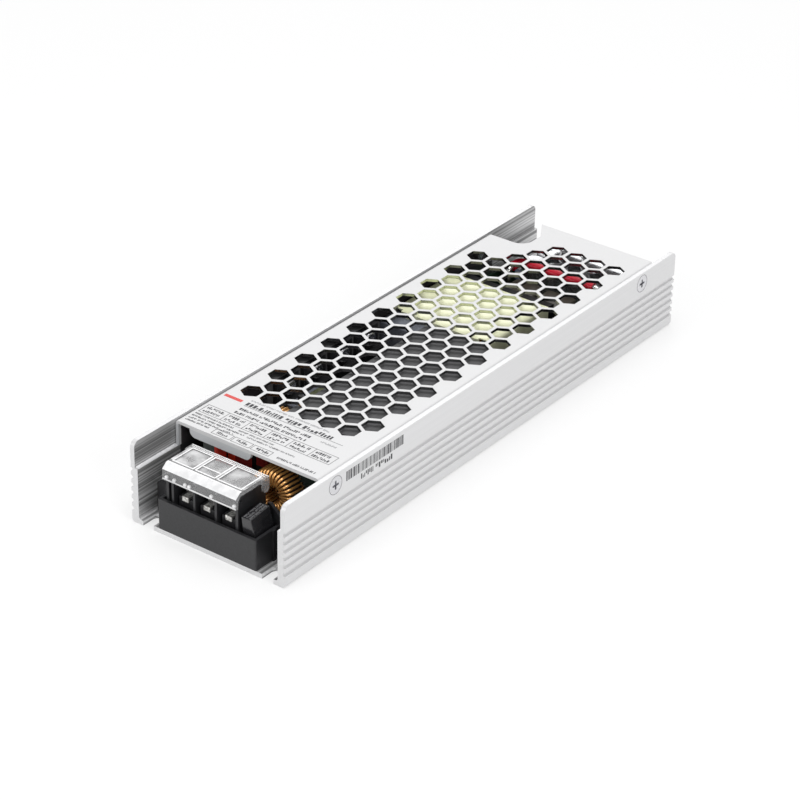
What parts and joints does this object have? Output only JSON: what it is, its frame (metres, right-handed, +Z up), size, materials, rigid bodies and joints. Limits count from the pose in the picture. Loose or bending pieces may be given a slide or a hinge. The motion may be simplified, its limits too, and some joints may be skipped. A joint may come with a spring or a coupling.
{
  "type": "switching power supply",
  "caption": "Slim enclosed power converter: ribbed aluminium channel, hexagonally perforated cover, covered screw terminals for mains in and screw terminals for low voltage out",
  "frame": {"origin": "middle of the underside", "axes": "+X across the case to the right seen from the input end, +Y along the case from the input end to the output end, +Z up from the mounting face"},
  "size_m": [0.055, 0.194, 0.026],
  "materials": {
    "case": "satin anodised extrusion with fine draw lines",
    "cover": "very light grey, fine matt",
    "steel_screw": "nickel plated",
    "black_sheet": "thin fibre sheet",
    "board": "green solder mask",
    "black_plastic": "moulded, slight sheen",
    "tinned_metal": "tin plated",
    "clear_plastic": "clear moulded plastic",
    "black_gloss": "smooth",
    "ferrite": "ground ferrite",
    "copper": "enamelled copper wire",
    "grey_plastic": "smooth",
    "red_gloss": "glossy dip coating",
    "bare_aluminium": "plain sheet",
    "yellow_tape": "polyester tape",
    "blue_plastic": "smooth",
    "white_plastic": "smooth",
    "green_lens": "tinted lens"
  },
  "bodies": {
    "enclosure": {"base_channel": "case", "board_liner": "black_sheet", "board_screws": "steel_screw", "board_standoffs": "steel_screw", "bridge_rectifier": "black_plastic", "bulk_capacitors": "black_gloss", "bus_bar_sleeve": "red_gloss", "circuit_board": "board", "control_board": "board", "correction_inductor_bobbin": "black_plastic", "correction_inductor_core": "ferrite", "correction_inductor_winding": "yellow_tape", "cover_screws": "steel_screw", "film_capacitor": "red_gloss", "filter_choke_base": "black_plastic", "filter_choke_core": "ferrite", "filter_choke_windings": "copper", "heat_spreader": "bare_aluminium", "input_choke_core": "ferrite", "input_choke_winding": "copper", "input_fuse": "black_gloss", "input_terminal_body": "black_plastic", "input_terminal_clamps": "tinned_metal", "input_terminal_contacts": "tinned_metal", "input_terminal_screws": "steel_screw", "line_capacitor": "grey_plastic", "output_bus_bar": "tinned_metal", "output_capacitors": "bare_aluminium", "output_chokes": "ferrite", "output_device_screws": "steel_screw", "output_devices": "black_plastic", "output_heatsink": "bare_aluminium", "output_terminal_body": "black_plastic", "output_terminal_clamps": "tinned_metal", "output_terminal_contacts": "tinned_metal", "output_terminal_screws": "steel_screw", "primary_device_screws": "steel_screw", "primary_devices": "black_plastic", "primary_heatsink": "bare_aluminium", "standby_transformer_bobbin": "black_plastic", "standby_transformer_core": "ferrite", "standby_transformer_winding": "yellow_tape", "status_lamp": "green_lens", "terminal_tray": "black_plastic", "top_cover": "cover", "transformer_bobbin": "black_plastic", "transformer_core": "ferrite", "transformer_tape": "yellow_tape", "transformer_winding": "copper", "trimmer_body": "blue_plastic"},
    "lid": {"terminal_lid": "clear_plastic"},
    "rotor": {"trimmer_rotor": "white_plastic"}
  },
  "joints": [
    {"name": "lid_hinge", "type": "hinge", "parent": "enclosure", "child": "lid", "pos_m": [0, -0.0848, 0.0198], "axis": [-1, 0, 0], "range_deg": [0, 95]},
    {"name": "trimmer_turn", "type": "hinge", "parent": "enclosure", "child": "rotor", "pos_m": [-0.018, 0.0772, 0.011], "axis": [0, 0, 1], "range_deg": [-110, 110]}
  ]
}
